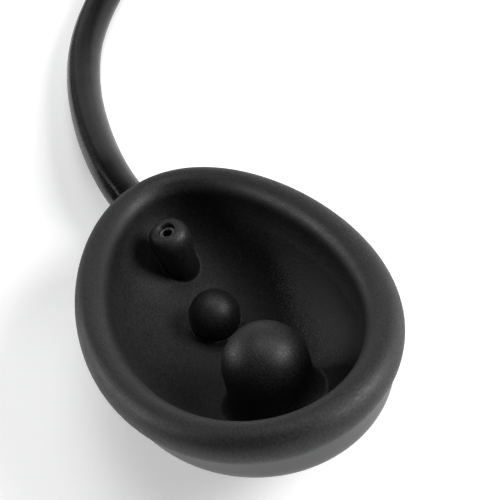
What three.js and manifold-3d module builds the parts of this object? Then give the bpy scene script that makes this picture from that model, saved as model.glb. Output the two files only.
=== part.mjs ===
// Silicone suction cup on an air hose that ends in a squeeze bulb with a push-button release valve.
// Millimetres, +Z up. The cup stands on its flat base, whose centre is the origin, with its mouth up.
// +X is the wide end of the egg-shaped cup; the hose leaves the narrow end towards -X.

import * as THREE from 'three';
import { mergeVertices } from 'three/addons/utils/BufferGeometryUtils.js';
import Module from 'manifold-3d';

const wasm = await Module();
wasm.setup();

// Gap kept between touching pieces.
const GAP = 0.3;

// Cup: the centreline of the rolled lip is an egg, blunt at +X.
const LIP_HALF_LENGTH = 52.2;
const LIP_HALF_WIDTH = 31.06;
const EGG_BLUNTNESS = 0.094;
const LIP_RADIUS = 4.25;
const LIP_HEIGHT = 29;
const LIP_TILT = 4.6;
const LIP_SADDLE = 0.7;
const WALL_OUTSET = 1.0;
const SKIRT_DEPTH = 8.8;
const SKIRT_ROUNDING = 1.2;
const FLANK = new THREE.Vector2(34.96, 10.27);
const BASE_RADIUS = 20.5;
const FLOOR_HEIGHT = 4;
const INNER_FULLNESS = 2.15;
const CUP_SIDES = 52;

// Bosses moulded on the cup's floor.
const LARGE_DOME = { x: 13.4, y: 2.0, centre: 17, radius: 10.3, foot: 14.6 };
const SMALL_DOME = { x: -18.0, y: -0.8, centre: 9.0, radius: 6.4 };

// Nozzle post and the steel tube inside it.
const NOZZLE_FOOT = new THREE.Vector3(-37.6, -1.5, 8);
const NOZZLE_TIP = new THREE.Vector3(-36.0, -3.2, 25.45);
const NOZZLE_TIP_RADIUS = 5.5;
const NOZZLE_FOOT_RADIUS = 4.3;
const TUBE_RADIUS = 2.0;
const TUBE_BORE = 1.2;
const TUBE_RECESS = 0.7;

// Hose socket on the narrow end of the cup.
const SOCKET_HEIGHT = 9.3;
const SOCKET_RADIUS = 7;
const SOCKET_FACE = new THREE.Vector3(-51.5, -2.91, SOCKET_HEIGHT);
const SOCKET_HEADING = Math.PI + 0.075;
const FERRULE_LENGTH = 4;
const BOOT_LENGTH = 13;
const BOOT_RADIUS = 7.2;

// Hose: its free stretches follow points chosen by hand, and its coil is a ring of two layers.
const HOSE_RADIUS = 5.25;
const COIL_CENTRE = new THREE.Vector2(-281, -35);
const COIL_RADIUS = 54;
const COIL_HEIGHT = 4 * HOSE_RADIUS;
const COIL_WIDTH = 2 * HOSE_RADIUS + 0.4;
const COIL_SIDES = 48;
const HOSE_ROUTE = [
  [-69.36, -4.25, 9.3],
  [-76.0, -4.75, 9.3],
  [-83.0, -5.2, 9.2],
  [-91.5, -5.2, 9.0],
  [-103.9, -4.5, 8.0],
  [-116.3, -3.2, 7.0],
  [-128.8, -1.3, 6.1],
  [-140.7, 1.2, 5.6],
  [-152.1, 4.4, 5.3],
  [-163.0, 8.3, 5.25],
  [-173.5, 13.3, 5.25],
  [-183.7, 19.3, 5.25],
  [-197.0, 28.0, 5.25],
  [-207.0, 32.3, 5.25],
  [-218.0, 34.2, 5.25],
  [-232.0, 33.6, 5.25],
  [-250.0, 30.0, 5.25],
];
const COIL_ENTRY = [
  [-250.3, 29.9, 5.25],
  [-272.0, 24.3, 5.25],
  [-295.0, 17.2, 5.25],
];
const COIL_EXIT = [
  [-281.0, -89.0, 15.75],
  [-273.5, -88.5, 15.75],
  [-262.0, -86.8, 16.6],
  [-249.0, -84.9, 19.2],
  [-236.3, -83.1, 22.7],
];
const TAIL_ROUTE = [
  [-236.0, -83.1, 22.8],
  [-224.0, -81.4, 25.3],
  [-214.3, -80.0, 26.0],
];

// Strap that holds the coil together.
const TIE_ANGLE = 190;
const TIE_WIDTH = 9;
const TIE_THICKNESS = 1.2;

// Hand pump, on a line that starts at the end of the hose. Lengths run along that line.
const PUMP_START = new THREE.Vector3(-214, -80, 26);
const PUMP_HEADING = 8;
const AIR_BORE = 1.6;
const FERRULE_WALL = 1.4;

// Valve body: the hose's barb, then the barrel with the intake seat in its end.
const BARB_RADIUS = 2.9;
const BARB_START = 3;
const BODY_START = 12.6;
const BODY_END = 40;
const BODY_EDGE = 1;
const VALVE_RADIUS = 7.5;
const CHAMBER_RADIUS = 4.5;

// Check valves: a loose disc between its seat and a slotted stop.
const SEAT_AT = 29;
const CHECK_DISC_RADIUS = 4;
const CHECK_DISC_THICKNESS = 1.2;
const CHECK_TRAVEL = 0.8;
const SLOT_WIDTH = 1.4;
const SLOT_DEPTH = 1.2;
const EXHAUST_SEAT = 2.4;
const EXHAUST_LENGTH = 7;

// Squeeze bulb.
const BULB_START = 42.6;
const BULB_LENGTH = 92;
const BULB_RADIUS = 26;
const BULB_WALL = 2.6;
const BULB_NECK_LENGTH = 6;
const NECK_RADIUS = 8.6;
const NECK_BORE = 5.6;
const SPIGOT_LENGTH = 9;

// Release valve: a tower on the barrel with a spring-held button. Heights are above the pump's axis.
const RELEASE_AT = 22;
const TOWER_RADIUS = 5;
const TOWER_TOP = 13.5;
const BUTTON_TRAVEL = 2;
const SPRING_SEAT = 7;
const SPRING_ROOM = 3.4;
const SPRING_TURNS = 4;
const SPRING_RADIUS = 2;
const SPRING_WIRE = 0.32;
const SPRING_HEIGHT = 3.9;
const VENT_SEAT = 4.5;
const VENT_RADIUS = 3.2;
const VENT_HOLE_RADIUS = 0.9;
const STEM_RADIUS = 1.1;
const STEM_FLANGE = 2;
const SLEEVE_RADIUS = 2.6;
const CAP_RADIUS = 4.4;
const CAP_UNDERSIDE = TOWER_TOP + BUTTON_TRAVEL + 2.1;

const SILICONE = () => new THREE.MeshStandardMaterial({ color: 0x2b2b2d, roughness: 0.62, metalness: 0 });
const HOSE_RUBBER = () => new THREE.MeshStandardMaterial({ color: 0x1d1d1f, roughness: 0.3, metalness: 0 });
const BULB_RUBBER = () => new THREE.MeshStandardMaterial({ color: 0x232325, roughness: 0.5, metalness: 0 });
const CHROME = () => new THREE.MeshStandardMaterial({ color: 0xd0d2d4, roughness: 0.15, metalness: 1 });
const STEEL = () => new THREE.MeshStandardMaterial({ color: 0xb8babd, roughness: 0.3, metalness: 1 });

// ---------------------------------------------------------------- solids

function signedVolume(geometry) {
  const p = geometry.attributes.position;
  const index = geometry.index.array;
  const [a, b, c] = [new THREE.Vector3(), new THREE.Vector3(), new THREE.Vector3()];
  let sum = 0;
  for (let i = 0; i < index.length; i += 3) {
    a.fromBufferAttribute(p, index[i]);
    b.fromBufferAttribute(p, index[i + 1]);
    c.fromBufferAttribute(p, index[i + 2]);
    sum += a.dot(b.cross(c));
  }
  return sum / 6;
}

// One closed body: shared vertices merged, collapsed triangles dropped, faces pointing out.
function closed(geometry) {
  const bare = geometry.clone();
  bare.deleteAttribute('normal');
  bare.deleteAttribute('uv');
  const merged = mergeVertices(bare, 1e-4);
  const kept = [];
  const old = merged.index.array;
  for (let i = 0; i < old.length; i += 3) {
    const [a, b, c] = [old[i], old[i + 1], old[i + 2]];
    if (a !== b && b !== c && c !== a) {
      kept.push(a, b, c);
    }
  }
  merged.setIndex(kept);
  if (signedVolume(merged) < 0) {
    for (let i = 0; i < kept.length; i += 3) {
      [kept[i], kept[i + 1]] = [kept[i + 1], kept[i]];
    }
    merged.setIndex(kept);
  }
  return merged;
}

function solid(geometry) {
  const g = closed(geometry);
  return new wasm.Manifold(new wasm.Mesh({
    numProp: 3,
    vertProperties: new Float32Array(g.attributes.position.array),
    triVerts: new Uint32Array(g.index.array),
  }));
}

function geometryOf(manifold) {
  const mesh = manifold.getMesh();
  const g = new THREE.BufferGeometry();
  g.setAttribute('position', new THREE.BufferAttribute(new Float32Array(mesh.vertProperties), 3));
  g.setIndex(Array.from(mesh.triVerts));
  return g;
}

function add(parent, name, geometry, material) {
  const shape = closed(geometry);
  shape.computeVertexNormals();
  const mesh = new THREE.Mesh(shape, material);
  mesh.name = name;
  parent.add(mesh);
}

// A solid turned about +Z from [radius, height] pairs.
function turned(profile, sides) {
  const points = profile.map(([r, z]) => new THREE.Vector2(r, z));
  return new THREE.LatheGeometry(points, sides).rotateX(Math.PI / 2);
}

// The same, about +X.
function turnedAlongX(profile, sides) {
  return turned(profile, sides).rotateY(Math.PI / 2);
}

// A washer or sleeve: a closed rectangle turned about +X.
function sleeve(inner, outer, from, to, sides) {
  return turnedAlongX([[inner, from], [outer, from], [outer, to], [inner, to], [inner, from]], sides);
}

function rod(radius, from, to, sides) {
  return turnedAlongX([[0, from], [radius, from], [radius, to], [0, to]], sides);
}

function circle(radius, sides) {
  const shape = new THREE.Shape();
  for (let i = 0; i < sides; i++) {
    const a = (i / sides) * 2 * Math.PI;
    const [x, y] = [radius * Math.cos(a), radius * Math.sin(a)];
    if (i === 0) {
      shape.moveTo(x, y);
    } else {
      shape.lineTo(x, y);
    }
  }
  return shape;
}

function swept(shape, points, steps) {
  const path = new THREE.CatmullRomCurve3(points, false, 'centripetal');
  return new THREE.ExtrudeGeometry(shape, { steps, bevelEnabled: false, extrudePath: path });
}

const route = (rows) => rows.map(([x, y, z]) => new THREE.Vector3(x, y, z));

// ---------------------------------------------------------------- cup

// A point of the egg, moved outwards along its normal.
function egg(t, outwards) {
  const x = LIP_HALF_LENGTH * Math.cos(t);
  const y = LIP_HALF_WIDTH * Math.sin(t) * (1 + EGG_BLUNTNESS * Math.cos(t));
  const dx = -LIP_HALF_LENGTH * Math.sin(t);
  const dy = LIP_HALF_WIDTH * (Math.cos(t) + EGG_BLUNTNESS * Math.cos(2 * t));
  const n = Math.hypot(dx, dy);
  return [x + (outwards * dy) / n, y - (outwards * dx) / n];
}

// The lip rises towards the wide end, and less and less of that shows towards the base.
function lipRise(t, z) {
  const share = THREE.MathUtils.clamp(z / LIP_HEIGHT, 0, 1);
  return (LIP_TILT * Math.cos(t) + LIP_SADDLE * Math.cos(2 * t)) * share;
}

// Turned profiles are drawn with a round cup of this radius, then bent onto the egg: near the lip
// a profile's distance from the lip stays true, and further in the egg shrinks towards the middle.
const NOMINAL = 45;
const TRUE_WITHIN = 5.5;

function ontoEgg(geometry) {
  const p = geometry.attributes.position;
  for (let i = 0; i < p.count; i++) {
    const r = Math.hypot(p.getX(i), p.getY(i));
    const t = Math.atan2(p.getY(i), p.getX(i));
    const z = p.getZ(i);
    const outwards = Math.max(r - NOMINAL, -TRUE_WITHIN);
    const shrink = Math.min(r / (NOMINAL - TRUE_WITHIN), 1);
    const [x, y] = egg(t, outwards);
    p.setXYZ(i, shrink * x, shrink * y, z + lipRise(t, z));
  }
  return geometry;
}

// Points of the curve that leaves a towards b and arrives at c.
function bent(a, b, c, count) {
  return new THREE.QuadraticBezierCurve(a, b, c).getPoints(count).map((v) => [v.x, v.y]);
}

// The bowl's outside: from the base up a sloping flank to the skirt's edge, then straight up to the lip.
function outerLine(count) {
  const edge = new THREE.Vector2(NOMINAL + WALL_OUTSET, LIP_HEIGHT - SKIRT_DEPTH);
  const slope = new THREE.Vector2().subVectors(FLANK, edge).setLength(SKIRT_ROUNDING);
  const below = new THREE.Vector2().addVectors(edge, slope);
  const above = new THREE.Vector2(edge.x, edge.y + SKIRT_ROUNDING);
  const foot = new THREE.Vector2(BASE_RADIUS, 0);
  const underLip = Math.sqrt(LIP_RADIUS ** 2 - WALL_OUTSET ** 2);
  const flank = bent(foot, FLANK, below, count);
  const corner = bent(below, edge, above, 3).slice(1);
  return [...flank, ...corner, [edge.x, LIP_HEIGHT - underLip]];
}

// The rolled lip, from just past the wall under it, round the outside and the top, to its inside.
function lipArc(count) {
  const arc = [];
  const start = -Math.acos(WALL_OUTSET / LIP_RADIUS);
  for (let i = 1; i <= count; i++) {
    const a = start + ((Math.PI - start) * i) / count;
    arc.push([NOMINAL + LIP_RADIUS * Math.cos(a), LIP_HEIGHT + LIP_RADIUS * Math.sin(a)]);
  }
  return arc;
}

// The bowl's inside, from the lip to the middle of the floor, raised off the surface by lift.
function innerLine(lift, count) {
  const rim = NOMINAL - LIP_RADIUS - lift;
  const depth = LIP_HEIGHT - FLOOR_HEIGHT - lift;
  const power = 2 / INNER_FULLNESS;
  const line = [];
  for (let i = 1; i < count; i++) {
    const a = ((i / count) * Math.PI) / 2;
    line.push([rim * Math.pow(Math.cos(a), power), LIP_HEIGHT - depth * Math.pow(Math.sin(a), power)]);
  }
  line.push([0, LIP_HEIGHT - depth]);
  return line;
}

// The space in the bowl, closed by a lid above the lip.
function bowlSpace(lift) {
  const rim = NOMINAL - LIP_RADIUS - lift;
  const lid = LIP_HEIGHT + 12;
  const profile = [[0, lid], [rim, lid], [rim, LIP_HEIGHT], ...innerLine(lift, 9)];
  return solid(ontoEgg(turned(profile, CUP_SIDES)));
}

const nozzleAxis = new THREE.Vector3().subVectors(NOZZLE_TIP, NOZZLE_FOOT).normalize();
const socketAxis = new THREE.Vector3(Math.cos(SOCKET_HEADING), Math.sin(SOCKET_HEADING), 0);

const alongNozzle = (s) => NOZZLE_FOOT.clone().addScaledVector(nozzleAxis, s);
const alongSocket = (s) => SOCKET_FACE.clone().addScaledVector(socketAxis, s);

// A solid turned about +Z, moved so that its axis runs from a point in a direction.
function aimed(geometry, from, direction) {
  const turn = new THREE.Quaternion().setFromUnitVectors(new THREE.Vector3(0, 0, 1), direction);
  return geometry.applyQuaternion(turn).translate(from.x, from.y, from.z);
}

// The steel tube's route: down the nozzle, round a bend in the wall, out through the socket.
function tubeRoute(top, out) {
  return [
    alongNozzle(top),
    alongNozzle(11),
    alongNozzle(6.4),
    new THREE.Vector3(-39.1, -1.75, 11.1),
    alongSocket(-8.7),
    alongSocket(-3.5),
    alongSocket(out),
  ];
}

function tubeSpace(radius, top, out) {
  return solid(swept(circle(radius, 12), tubeRoute(top, out), 16));
}

const nozzleLength = NOZZLE_FOOT.distanceTo(NOZZLE_TIP);

function cupShell() {
  const wall = solid(ontoEgg(turned([[0, 0], ...outerLine(5), ...lipArc(11), ...innerLine(0, 9)], CUP_SIDES)));
  const socket = turned([
    [0, -16.5],
    [SOCKET_RADIUS - 2, -15.5],
    [SOCKET_RADIUS, -12.5],
    [SOCKET_RADIUS, -1],
    [SOCKET_RADIUS - 1, 0],
    [0, 0],
  ], 20);
  return wall
    .add(solid(aimed(socket, SOCKET_FACE, socketAxis)))
    .subtract(bowlSpace(0))
    .subtract(tubeSpace(TUBE_RADIUS + GAP, nozzleLength, 1));
}

// A dome on a post that widens into the bowl's floor like the bell of a trumpet.
function largeDome() {
  const { x, y, centre, radius, foot } = LARGE_DOME;
  const neck = centre - 2.5;
  const profile = [[0, 0], [foot, 0]];
  for (let i = 0; i <= 5; i++) {
    const share = i / 5;
    const r = foot + (radius - foot) * share * (2 - share);
    profile.push([r, FLOOR_HEIGHT + (neck - FLOOR_HEIGHT) * share * share]);
  }
  for (let i = 0; i < 7; i++) {
    const a = ((Math.PI / 2) * i) / 7;
    profile.push([radius * Math.cos(a), centre + radius * Math.sin(a)]);
  }
  profile.push([0, centre + radius]);
  return solid(turned(profile, 32).translate(x, y, 0)).intersect(bowlSpace(GAP));
}

function smallDome() {
  const { x, y, centre, radius } = SMALL_DOME;
  const ball = new THREE.SphereGeometry(radius, 24, 14).rotateX(Math.PI / 2).translate(x, y, centre);
  return solid(ball).intersect(bowlSpace(GAP));
}

function nozzleSleeve() {
  const tip = nozzleLength;
  const profile = [
    [0, -4],
    [NOZZLE_FOOT_RADIUS, -4],
    [NOZZLE_FOOT_RADIUS, 2],
    [NOZZLE_TIP_RADIUS - 0.35, tip - 6],
    [NOZZLE_TIP_RADIUS, tip - 3.2],
    [NOZZLE_TIP_RADIUS - 0.7, tip - 1.2],
    [NOZZLE_TIP_RADIUS - 2, tip - 0.15],
    [0, tip],
  ];
  return solid(aimed(turned(profile, 24), NOZZLE_FOOT, nozzleAxis))
    .intersect(bowlSpace(GAP))
    .subtract(tubeSpace(TUBE_RADIUS + GAP, tip + 1, 1));
}

function steelTube() {
  const ring = circle(TUBE_RADIUS, 12);
  ring.holes.push(circle(TUBE_BORE, 12));
  return swept(ring, tubeRoute(nozzleLength - TUBE_RECESS, FERRULE_LENGTH + 4), 16);
}

function addCup(parent) {
  add(parent, 'cup_shell', geometryOf(cupShell()), SILICONE());
  add(parent, 'large_dome', geometryOf(largeDome()), SILICONE());
  add(parent, 'small_dome', geometryOf(smallDome()), SILICONE());
  add(parent, 'nozzle_sleeve', geometryOf(nozzleSleeve()), SILICONE());
  add(parent, 'port_tube', steelTube(), STEEL());
}

// ---------------------------------------------------------------- hose

// Steel ferrule and tapered rubber boot between the cup's socket and the hose.
function addHoseJoint(parent) {
  const bore = TUBE_RADIUS + GAP;
  const ferrule = turned([
    [bore, GAP],
    [BOOT_RADIUS - 0.5, GAP],
    [BOOT_RADIUS, GAP + 0.6],
    [BOOT_RADIUS, FERRULE_LENGTH - 0.6],
    [BOOT_RADIUS - 0.5, FERRULE_LENGTH],
    [bore, FERRULE_LENGTH],
    [bore, GAP],
  ], 20);
  const start = FERRULE_LENGTH + GAP;
  const end = start + BOOT_LENGTH;
  const boot = turned([
    [0, start + 4.5],
    [bore, start + 4.5],
    [bore, start],
    [BOOT_RADIUS, start],
    [BOOT_RADIUS, start + 3],
    [HOSE_RADIUS + 0.75, end],
    [0, end],
  ], 20);
  add(parent, 'port_ferrule', aimed(ferrule, SOCKET_FACE, socketAxis), STEEL());
  add(parent, 'hose_boot', aimed(boot, SOCKET_FACE, socketAxis), SILICONE());
}

// A ring of the coil's outer shape, with short stubs where the hose comes in and goes out.
function hoseCoil() {
  const [inner, outer] = [COIL_RADIUS - COIL_WIDTH / 2, COIL_RADIUS + COIL_WIDTH / 2];
  const chamfer = 3;
  const ring = turned([
    [inner + chamfer, 0],
    [outer - chamfer, 0],
    [outer, chamfer],
    [outer, COIL_HEIGHT - chamfer],
    [outer - chamfer, COIL_HEIGHT],
    [inner + chamfer, COIL_HEIGHT],
    [inner, COIL_HEIGHT - chamfer],
    [inner, chamfer],
    [inner + chamfer, 0],
  ], COIL_SIDES);
  const notch = new THREE.BoxGeometry(COIL_WIDTH + 4, TIE_WIDTH + 2 * GAP, 2 * (TIE_THICKNESS + GAP));
  return solid(ring.translate(COIL_CENTRE.x, COIL_CENTRE.y, 0))
    .add(solid(swept(circle(HOSE_RADIUS, 10), route(COIL_ENTRY), 4)))
    .add(solid(swept(circle(HOSE_RADIUS, 10), route(COIL_EXIT), 5)))
    .subtract(solid(atTie(notch)));
}

// Moves a shape drawn with X outwards and Z up to the strap's place on the coil.
function atTie(geometry) {
  const a = THREE.MathUtils.degToRad(TIE_ANGLE);
  return geometry
    .translate(COIL_RADIUS, 0, 0)
    .rotateZ(a)
    .translate(COIL_CENTRE.x, COIL_CENTRE.y, 0);
}

function rounded(path, halfWidth, low, high, corner) {
  path.moveTo(-halfWidth + corner, low);
  path.lineTo(halfWidth - corner, low);
  path.quadraticCurveTo(halfWidth, low, halfWidth, low + corner);
  path.lineTo(halfWidth, high - corner);
  path.quadraticCurveTo(halfWidth, high, halfWidth - corner, high);
  path.lineTo(-halfWidth + corner, high);
  path.quadraticCurveTo(-halfWidth, high, -halfWidth, high - corner);
  path.lineTo(-halfWidth, low + corner);
  path.quadraticCurveTo(-halfWidth, low, -halfWidth + corner, low);
  return path;
}

function coilTie() {
  const half = COIL_WIDTH / 2 + 0.5;
  const top = COIL_HEIGHT + GAP;
  const strap = rounded(new THREE.Shape(), half + TIE_THICKNESS, 0, top + TIE_THICKNESS, 2);
  strap.holes.push(rounded(new THREE.Path(), half, TIE_THICKNESS, top, 1));
  const loop = new THREE.ExtrudeGeometry(strap, { depth: TIE_WIDTH, bevelEnabled: false, curveSegments: 3 });
  return atTie(loop.translate(0, 0, -TIE_WIDTH / 2).rotateX(Math.PI / 2));
}

function addHose(parent) {
  addHoseJoint(parent);
  add(parent, 'hose', swept(circle(HOSE_RADIUS, 10), route(HOSE_ROUTE), 16), HOSE_RUBBER());
  add(parent, 'hose_coil', geometryOf(hoseCoil()), HOSE_RUBBER());
  add(parent, 'coil_tie', coilTie(), SILICONE());
  add(parent, 'hose_tail', swept(circle(HOSE_RADIUS, 10), route(TAIL_ROUTE), 3), HOSE_RUBBER());
}

// ---------------------------------------------------------------- hand pump

function valveBody() {
  const outside = turnedAlongX([
    [0, BARB_START],
    [BARB_RADIUS, BARB_START],
    [BARB_RADIUS, BODY_START],
    [VALVE_RADIUS - BODY_EDGE, BODY_START],
    [VALVE_RADIUS, BODY_START + BODY_EDGE],
    [VALVE_RADIUS, BODY_END - BODY_EDGE],
    [VALVE_RADIUS - BODY_EDGE, BODY_END],
    [0, BODY_END],
  ], 28);
  const tower = turned([[0, 1], [TOWER_RADIUS, 1], [TOWER_RADIUS, TOWER_TOP], [0, TOWER_TOP]], 24);
  const vent = turned([
    [0, -3],
    [VENT_RADIUS, -3],
    [VENT_RADIUS, VENT_SEAT],
    [AIR_BORE, VENT_SEAT],
    [AIR_BORE, SPRING_SEAT],
    [SPRING_ROOM, SPRING_SEAT],
    [SPRING_ROOM, TOWER_TOP + 1],
    [0, TOWER_TOP + 1],
  ], 20);
  const side = turned([[0, 0], [VENT_HOLE_RADIUS, 0], [VENT_HOLE_RADIUS, 8], [0, 8]], 10)
    .rotateX(Math.PI / 2)
    .translate(RELEASE_AT, 0, SPRING_SEAT + 2.4);
  return solid(outside)
    .add(solid(tower.translate(RELEASE_AT, 0, 0)))
    .subtract(solid(rod(AIR_BORE, BARB_START - 1, SEAT_AT + 1, 14)))
    .subtract(solid(rod(CHAMBER_RADIUS, SEAT_AT, BODY_END + 1, 24)))
    .subtract(solid(vent.translate(RELEASE_AT, 0, 0)))
    .subtract(solid(side));
}

// Cap, neck, stem and end flange in one piece, turned about the vertical.
function releaseButton() {
  return turned([
    [0, 1.6],
    [STEM_FLANGE, 1.6],
    [STEM_FLANGE, 2.6],
    [STEM_RADIUS, 2.6],
    [STEM_RADIUS, 12.2],
    [SLEEVE_RADIUS, 12.2],
    [SLEEVE_RADIUS, CAP_UNDERSIDE],
    [CAP_RADIUS - 0.2, CAP_UNDERSIDE],
    [CAP_RADIUS, CAP_UNDERSIDE + 0.5],
    [CAP_RADIUS, CAP_UNDERSIDE + 2.5],
    [CAP_RADIUS - 0.6, CAP_UNDERSIDE + 3.1],
    [0, CAP_UNDERSIDE + 3.3],
  ], 24);
}

function buttonSpring() {
  const points = [];
  const count = SPRING_TURNS * 10;
  for (let i = 0; i <= count; i++) {
    const a = (i / 10) * 2 * Math.PI;
    const rise = SPRING_SEAT + 0.7 + (SPRING_HEIGHT * i) / count;
    points.push(new THREE.Vector3(SPRING_RADIUS * Math.cos(a), SPRING_RADIUS * Math.sin(a), rise));
  }
  return swept(circle(SPRING_WIRE, 6), points, count);
}

function washer(inner, outer, low, high, sides) {
  return turned([[inner, low], [outer, low], [outer, high], [inner, high], [inner, low]], sides);
}

function addReleaseValve(parent) {
  add(parent, 'valve_body', geometryOf(valveBody()), CHROME());
  const onTower = (geometry) => geometry.translate(RELEASE_AT, 0, 0);
  add(parent, 'release_button', onTower(releaseButton()), CHROME());
  add(parent, 'button_spring', onTower(buttonSpring()), STEEL());
  add(parent, 'stem_seal', onTower(washer(1.4, 2.7, 2.9, 4.2, 18)), SILICONE());
  const guide = washer(2.9, TOWER_RADIUS + 0.6, TOWER_TOP + GAP, TOWER_TOP + 1.8, 24);
  add(parent, 'button_guide', onTower(guide), CHROME());
}

// A plug with a spigot that holds a rubber neck, an air bore, and cross slots that let air past the disc.
function airPlug(profile, bore, slotAt) {
  const [from, to] = [profile[0][1], profile[profile.length - 1][1]];
  const across = 2 * CHAMBER_RADIUS + 2;
  const slot = () => new THREE.BoxGeometry(SLOT_DEPTH, across, SLOT_WIDTH).translate(slotAt, 0, 0);
  return solid(turnedAlongX(profile, 24))
    .subtract(solid(rod(bore, from - 1, to + 1, 14)))
    .subtract(solid(slot()))
    .subtract(solid(slot().rotateX(Math.PI / 2)));
}

function addCheckValves(parent) {
  const disc = (at) => rod(CHECK_DISC_RADIUS, at, at + CHECK_DISC_THICKNESS, 20);
  const stop = 2 * GAP + CHECK_DISC_THICKNESS + CHECK_TRAVEL;
  add(parent, 'intake_disc', disc(SEAT_AT + GAP), SILICONE());
  const cageStart = SEAT_AT + stop;
  const cage = airPlug([
    [0, cageStart],
    [CHAMBER_RADIUS - GAP, cageStart],
    [CHAMBER_RADIUS - GAP, BODY_END + GAP],
    [VALVE_RADIUS, BODY_END + GAP],
    [VALVE_RADIUS, BULB_START - GAP],
    [NECK_BORE - GAP, BULB_START - GAP],
    [NECK_BORE - GAP, BULB_START + SPIGOT_LENGTH],
    [0, BULB_START + SPIGOT_LENGTH],
  ], AIR_BORE, cageStart + SLOT_DEPTH / 2);
  add(parent, 'intake_cage', geometryOf(cage), CHROME());

  const bulbEnd = BULB_START + BULB_LENGTH;
  const seat = bulbEnd + EXHAUST_SEAT;
  const housingEnd = seat + EXHAUST_LENGTH;
  const housing = solid(turnedAlongX([
    [0, bulbEnd - SPIGOT_LENGTH],
    [NECK_BORE - GAP, bulbEnd - SPIGOT_LENGTH],
    [NECK_BORE - GAP, bulbEnd + GAP],
    [VALVE_RADIUS, bulbEnd + GAP],
    [VALVE_RADIUS, bulbEnd + 3],
    [VALVE_RADIUS - 1, bulbEnd + 3.6],
    [VALVE_RADIUS - 1, housingEnd],
    [0, housingEnd],
  ], 28))
    .subtract(solid(rod(AIR_BORE, bulbEnd - SPIGOT_LENGTH - 1, seat + 1, 14)))
    .subtract(solid(rod(CHAMBER_RADIUS, seat, housingEnd + 1, 24)));
  add(parent, 'exhaust_housing', geometryOf(housing), CHROME());
  add(parent, 'exhaust_disc', disc(seat + GAP), SILICONE());
  const capStart = seat + stop;
  const cap = airPlug([
    [0, capStart],
    [CHAMBER_RADIUS - GAP, capStart],
    [CHAMBER_RADIUS - GAP, housingEnd + GAP],
    [VALVE_RADIUS - 1, housingEnd + GAP],
    [VALVE_RADIUS - 1, housingEnd + 1.8],
    [VALVE_RADIUS - 1.8, housingEnd + 2.5],
    [0, housingEnd + 2.5],
  ], AIR_BORE, capStart + SLOT_DEPTH / 2);
  add(parent, 'exhaust_cap', geometryOf(cap), CHROME());
}

// A rubber egg with a short neck at each end, hollow and open through both necks.
function squeezeBulb() {
  const middle = BULB_START + BULB_LENGTH / 2;
  const half = BULB_LENGTH / 2;
  const skin = (radius, length, neck, rings) => {
    const shoulder = Math.acos(neck / radius);
    const line = [];
    for (let i = 0; i <= rings; i++) {
      const a = -shoulder + (2 * shoulder * i) / rings;
      line.push([radius * Math.cos(a), middle + length * Math.sin(a)]);
    }
    return line;
  };
  const reach = half - BULB_NECK_LENGTH;
  const outside = skin(BULB_RADIUS, reach, NECK_RADIUS, 12);
  const inside = skin(BULB_RADIUS - BULB_WALL, reach - BULB_WALL, NECK_BORE, 12).reverse();
  return turnedAlongX([
    [NECK_BORE, middle - half],
    [NECK_RADIUS, middle - half],
    ...outside,
    [NECK_RADIUS, middle + half],
    [NECK_BORE, middle + half],
    ...inside,
    [NECK_BORE, middle - half],
  ], 28);
}

function addPump(parent) {
  const pump = new THREE.Group();
  pump.position.copy(PUMP_START);
  pump.rotation.z = THREE.MathUtils.degToRad(PUMP_HEADING);
  parent.add(pump);
  const ferrule = sleeve(BARB_RADIUS + GAP, HOSE_RADIUS + FERRULE_WALL, GAP, BODY_START - GAP, 24);
  add(pump, 'pump_ferrule', ferrule, CHROME());
  addReleaseValve(pump);
  addCheckValves(pump);
  add(pump, 'squeeze_bulb', squeezeBulb(), BULB_RUBBER());
}

const group = new THREE.Group();
addCup(group);
addHose(group);
addPump(group);

export default group;
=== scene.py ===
# An egg-shaped silicone suction cup on an air hose that ends in a squeeze bulb with a release valve.
# Lengths are in millimetres here and turn into metres where a mesh is made.

import itertools
import math

import bmesh
import bpy
import numpy as np
from mathutils import Matrix, Vector


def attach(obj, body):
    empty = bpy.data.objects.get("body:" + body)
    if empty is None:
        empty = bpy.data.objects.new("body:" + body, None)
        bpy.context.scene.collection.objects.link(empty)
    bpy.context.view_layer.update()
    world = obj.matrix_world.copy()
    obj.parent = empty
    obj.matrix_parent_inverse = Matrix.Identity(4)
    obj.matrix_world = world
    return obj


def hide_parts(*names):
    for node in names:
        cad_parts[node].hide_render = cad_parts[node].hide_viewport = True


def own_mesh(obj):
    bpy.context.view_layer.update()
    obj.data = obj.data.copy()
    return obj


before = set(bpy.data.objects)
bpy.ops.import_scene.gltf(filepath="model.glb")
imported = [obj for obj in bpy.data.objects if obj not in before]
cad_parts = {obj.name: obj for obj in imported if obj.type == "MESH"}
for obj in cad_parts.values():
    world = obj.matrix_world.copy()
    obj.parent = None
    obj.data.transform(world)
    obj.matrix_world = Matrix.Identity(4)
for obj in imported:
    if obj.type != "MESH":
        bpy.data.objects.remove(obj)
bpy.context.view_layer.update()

MM = 0.001
ROOT = "cup_and_pump"

# ---------------------------------------------------------------- dimensions

# Cup: the centreline of the rolled lip is an egg, blunt at +X.
LIP_HALF_LENGTH = 52.2
LIP_HALF_WIDTH = 31.06
EGG_BLUNTNESS = 0.094
LIP_RADIUS = 4.25
LIP_HEIGHT = 29.0
LIP_TILT = 4.6
LIP_SADDLE = 0.7
WALL_OUTSET = 1.0
SKIRT_DEPTH = 8.8
SKIRT_ROUNDING = 1.2
FLANK = (34.96, 10.27)
BASE_RADIUS = 20.5
BASE_ROUNDING = 1.5
FLOOR_HEIGHT = 4.0
INNER_FULLNESS = 2.15

# The cup is first modelled round, with the lip's centreline at this radius, and then bent onto the egg.
NOMINAL = 45.0
TRUE_WITHIN = 5.5
CUP_SIDES = 200
CUP_VOXEL = 0.38

# The bosses' pieces start this far inside the wall, so that they join it.
SINK = 0.6

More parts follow.
